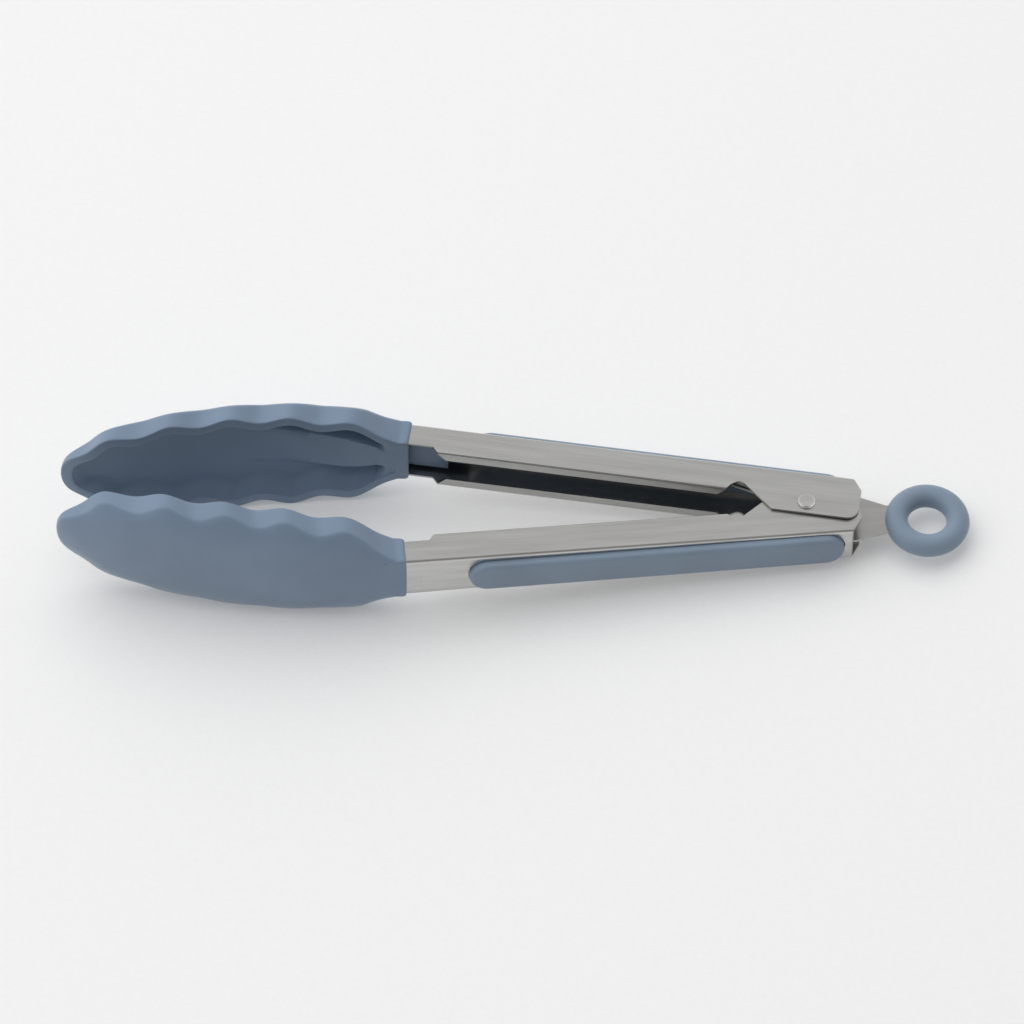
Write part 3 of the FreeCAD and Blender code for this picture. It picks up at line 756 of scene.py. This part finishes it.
def torsion_spring():
    """Double spring, cut in the middle of each coil: a bridged leg pair outwards, two legs inwards."""
    outer_end, coil, inner_end = spring_places()
    middle = len(coil) // 2
    leg_side = outer_end + (coil[0] - outer_end).normalized() * BRIDGE_BEND
    bridge_side = outer_end - Vector((0.0, 0.0, BRIDGE_BEND))
    half = coil[middle::-1] + run(coil[0], leg_side)[1:]
    half += corner(leg_side, outer_end, bridge_side)[1:]
    half.append(Vector((outer_end.x, outer_end.y, 0.0)))
    spring_piece("spring_outer_legs", [half + flipped(half[-2::-1])])
    leg = coil[middle:] + run(coil[-1], inner_end)[1:]
    spring_piece("spring_inner_legs", [leg, flipped(leg)])


# ---------------------------------------------------------------- the pieces

for lever in LEVERS:
    body = f"{lever}_lever"
    cover = head_cover(lever)
    paint(cover, SILICONE)
    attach(cover, body)
    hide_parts(f"{lever}_head_cover")
    pad = grip_pad(lever)
    paint(pad, GRIP)
    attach(pad, body)
    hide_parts(f"{lever}_grip_pad")
    paint(frame["nodes"][f"{lever}_arm"], STEEL[lever])
    paint(frame["nodes"][f"{lever}_head_core"], NYLON)

pin = rivet()
paint(pin, RIVET_STEEL)
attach(pin, "pivot")
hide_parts("pivot_rivet")

ring = pull_ring()
paint(ring, GRIP)
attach(ring, "lock")
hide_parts("hang_ring")

paint(frame["nodes"]["lock_plate"], PLATE_STEEL)
paint(frame["nodes"]["torsion_spring"], SPRING_STEEL)
torsion_spring()

# ---------------------------------------------------------------- floor, light and camera

AZIMUTH, ELEVATION, ROLL = math.radians(0.69), math.radians(53.63), math.radians(0.79)
CAMERA_DISTANCE = 1.835
LENS, SENSOR = 225.1, 36.0
AIM = Vector((PIVOT_X * MM - 0.08408, -0.00038, 0.0))
TABLE_HALF = 6.0
LOW_CREST, TAIL_CORNER = Vector((-0.183, 0.0, -0.0206)), Vector((-0.0192, 0.0, -0.0079))


def camera():
    """Long lens above the near arm, a little rolled."""
    back = Vector((math.sin(AZIMUTH) * math.cos(ELEVATION), -math.cos(AZIMUTH) * math.cos(ELEVATION),
                   math.sin(ELEVATION)))
    right = Vector((math.cos(AZIMUTH), math.sin(AZIMUTH), 0.0))
    up = back.cross(right)
    rolled_right = right * math.cos(ROLL) + up * math.sin(ROLL)
    rolled_up = up * math.cos(ROLL) - right * math.sin(ROLL)
    data = bpy.data.cameras.new("camera")
    data.lens = LENS
    data.sensor_width = SENSOR
    data.clip_end = 20.0
    seen = bpy.data.objects.new("camera", data)
    bpy.context.scene.collection.objects.link(seen)
    columns = Matrix((rolled_right, rolled_up, back)).transposed().to_4x4()
    columns.translation = AIM + back * CAMERA_DISTANCE
    seen.matrix_world = columns
    bpy.context.scene.camera = seen


def area_light(name, place, aim, width, height, power):
    """Soft white rectangle, which what shines doesn't show."""
    data = bpy.data.lights.new(name, "AREA")
    data.shape = "RECTANGLE"
    data.size = width
    data.size_y = height
    data.energy = power
    light = bpy.data.objects.new(name, data)
    light.location = place
    light.rotation_euler = (Vector(aim) - Vector(place)).to_track_quat("-Z", "Y").to_euler()
    light.visible_glossy = False
    bpy.context.scene.collection.objects.link(light)


def world(strength, bright_side, glossy_patches):
    """Pale surroundings, paler on one side. What shines sees darker soft patches, as a studio has.

    Each patch is a direction, its level, and the cosines at its outer and inner edges.
    """
    made = bpy.data.worlds.new("studio")
    bpy.context.scene.world = made
    made.use_nodes = True
    tree = made.node_tree
    sky = tree.nodes["Background"]
    sky.inputs["Strength"].default_value = strength
    place = tree.nodes.new("ShaderNodeTexCoord")
    side = tree.nodes.new("ShaderNodeVectorMath")
    side.operation = "DOT_PRODUCT"
    side.inputs[1].default_value = Vector(bright_side).normalized()
    tree.links.new(place.outputs["Generated"], side.inputs[0])
    tree.links.new(ramp(tree, side.outputs["Value"], grey(0.25), grey(1.0), 0.0, 0.9),
                   sky.inputs["Color"])
    seen = None
    for direction, level, outer_edge, inner_edge in glossy_patches:
        towards = tree.nodes.new("ShaderNodeVectorMath")
        towards.operation = "DOT_PRODUCT"
        towards.inputs[1].default_value = Vector(direction).normalized()
        tree.links.new(place.outputs["Generated"], towards.inputs[0])
        patch = ramp(tree, towards.outputs["Value"], grey(1.0), grey(level), outer_edge, inner_edge)
        if seen is None:
            seen = patch
            continue
        product = tree.nodes.new("ShaderNodeMix")
        product.data_type = "RGBA"
        product.blend_type = "MULTIPLY"
        product.inputs["Factor"].default_value = 1.0
        tree.links.new(seen, product.inputs["A"])
        tree.links.new(patch, product.inputs["B"])
        seen = product.outputs["Result"]
    shiny = tree.nodes.new("ShaderNodeBackground")
    shiny.inputs["Strength"].default_value = strength
    tree.links.new(seen, shiny.inputs["Color"])
    path = tree.nodes.new("ShaderNodeLightPath")
    either = tree.nodes.new("ShaderNodeMixShader")
    tree.links.new(path.outputs["Is Glossy Ray"], either.inputs["Fac"])
    tree.links.new(sky.outputs["Background"], either.inputs[1])
    tree.links.new(shiny.outputs["Background"], either.inputs[2])
    tree.links.new(either.outputs["Shader"], tree.nodes["World Output"].inputs["Surface"])


def floor():
    """Pale table that the tongs rest on with the heads' lower crests and the outer arm's tail."""
    slope = (TAIL_CORNER.z - LOW_CREST.z) / (TAIL_CORNER.x - LOW_CREST.x)
    points = []
    for x, y in ((-1, -1), (1, -1), (1, 1), (-1, 1)):
        place_x = x * TABLE_HALF
        points.append(Vector((place_x, y * TABLE_HALF, LOW_CREST.z + slope * (place_x - LOW_CREST.x))))
    table = new_mesh("table", points, [(0, 1, 2, 3)], smooth=False)
    made, tree, shader = material("pale_table")
    paper = noise(tree, 700, 3.0)
    tree.links.new(ramp(tree, paper, grey(0.705), grey(0.72)), shader.inputs["Base Color"])
    shader.inputs["Emission Color"].default_value = grey(1.0)
    shader.inputs["Emission Strength"].default_value = 0.185
    shader.inputs["Roughness"].default_value = 0.7
    paint(table, made)


camera()
floor()
OVER_NEAR_SIDE, OVER_FAR_SIDE = (0.0, -0.75, 0.66), (0.0, 0.59, 0.81)
world(strength=0.95, bright_side=(-0.35, 0.6, 0.72),
      glossy_patches=[(OVER_NEAR_SIDE, 0.24, 0.70, 0.94), (OVER_FAR_SIDE, 0.66, 0.55, 0.9)])
area_light("key", place=(-0.7, 0.45, 1.4), aim=(-0.13, 0.0, 0.0), width=2.2, height=1.8, power=13.0)
area_light("fill", place=(-1.3, -0.5, 0.7), aim=(-0.15, 0.0, 0.0), width=0.9, height=0.7, power=0.9)
bpy.context.scene.view_settings.view_transform = "Standard"
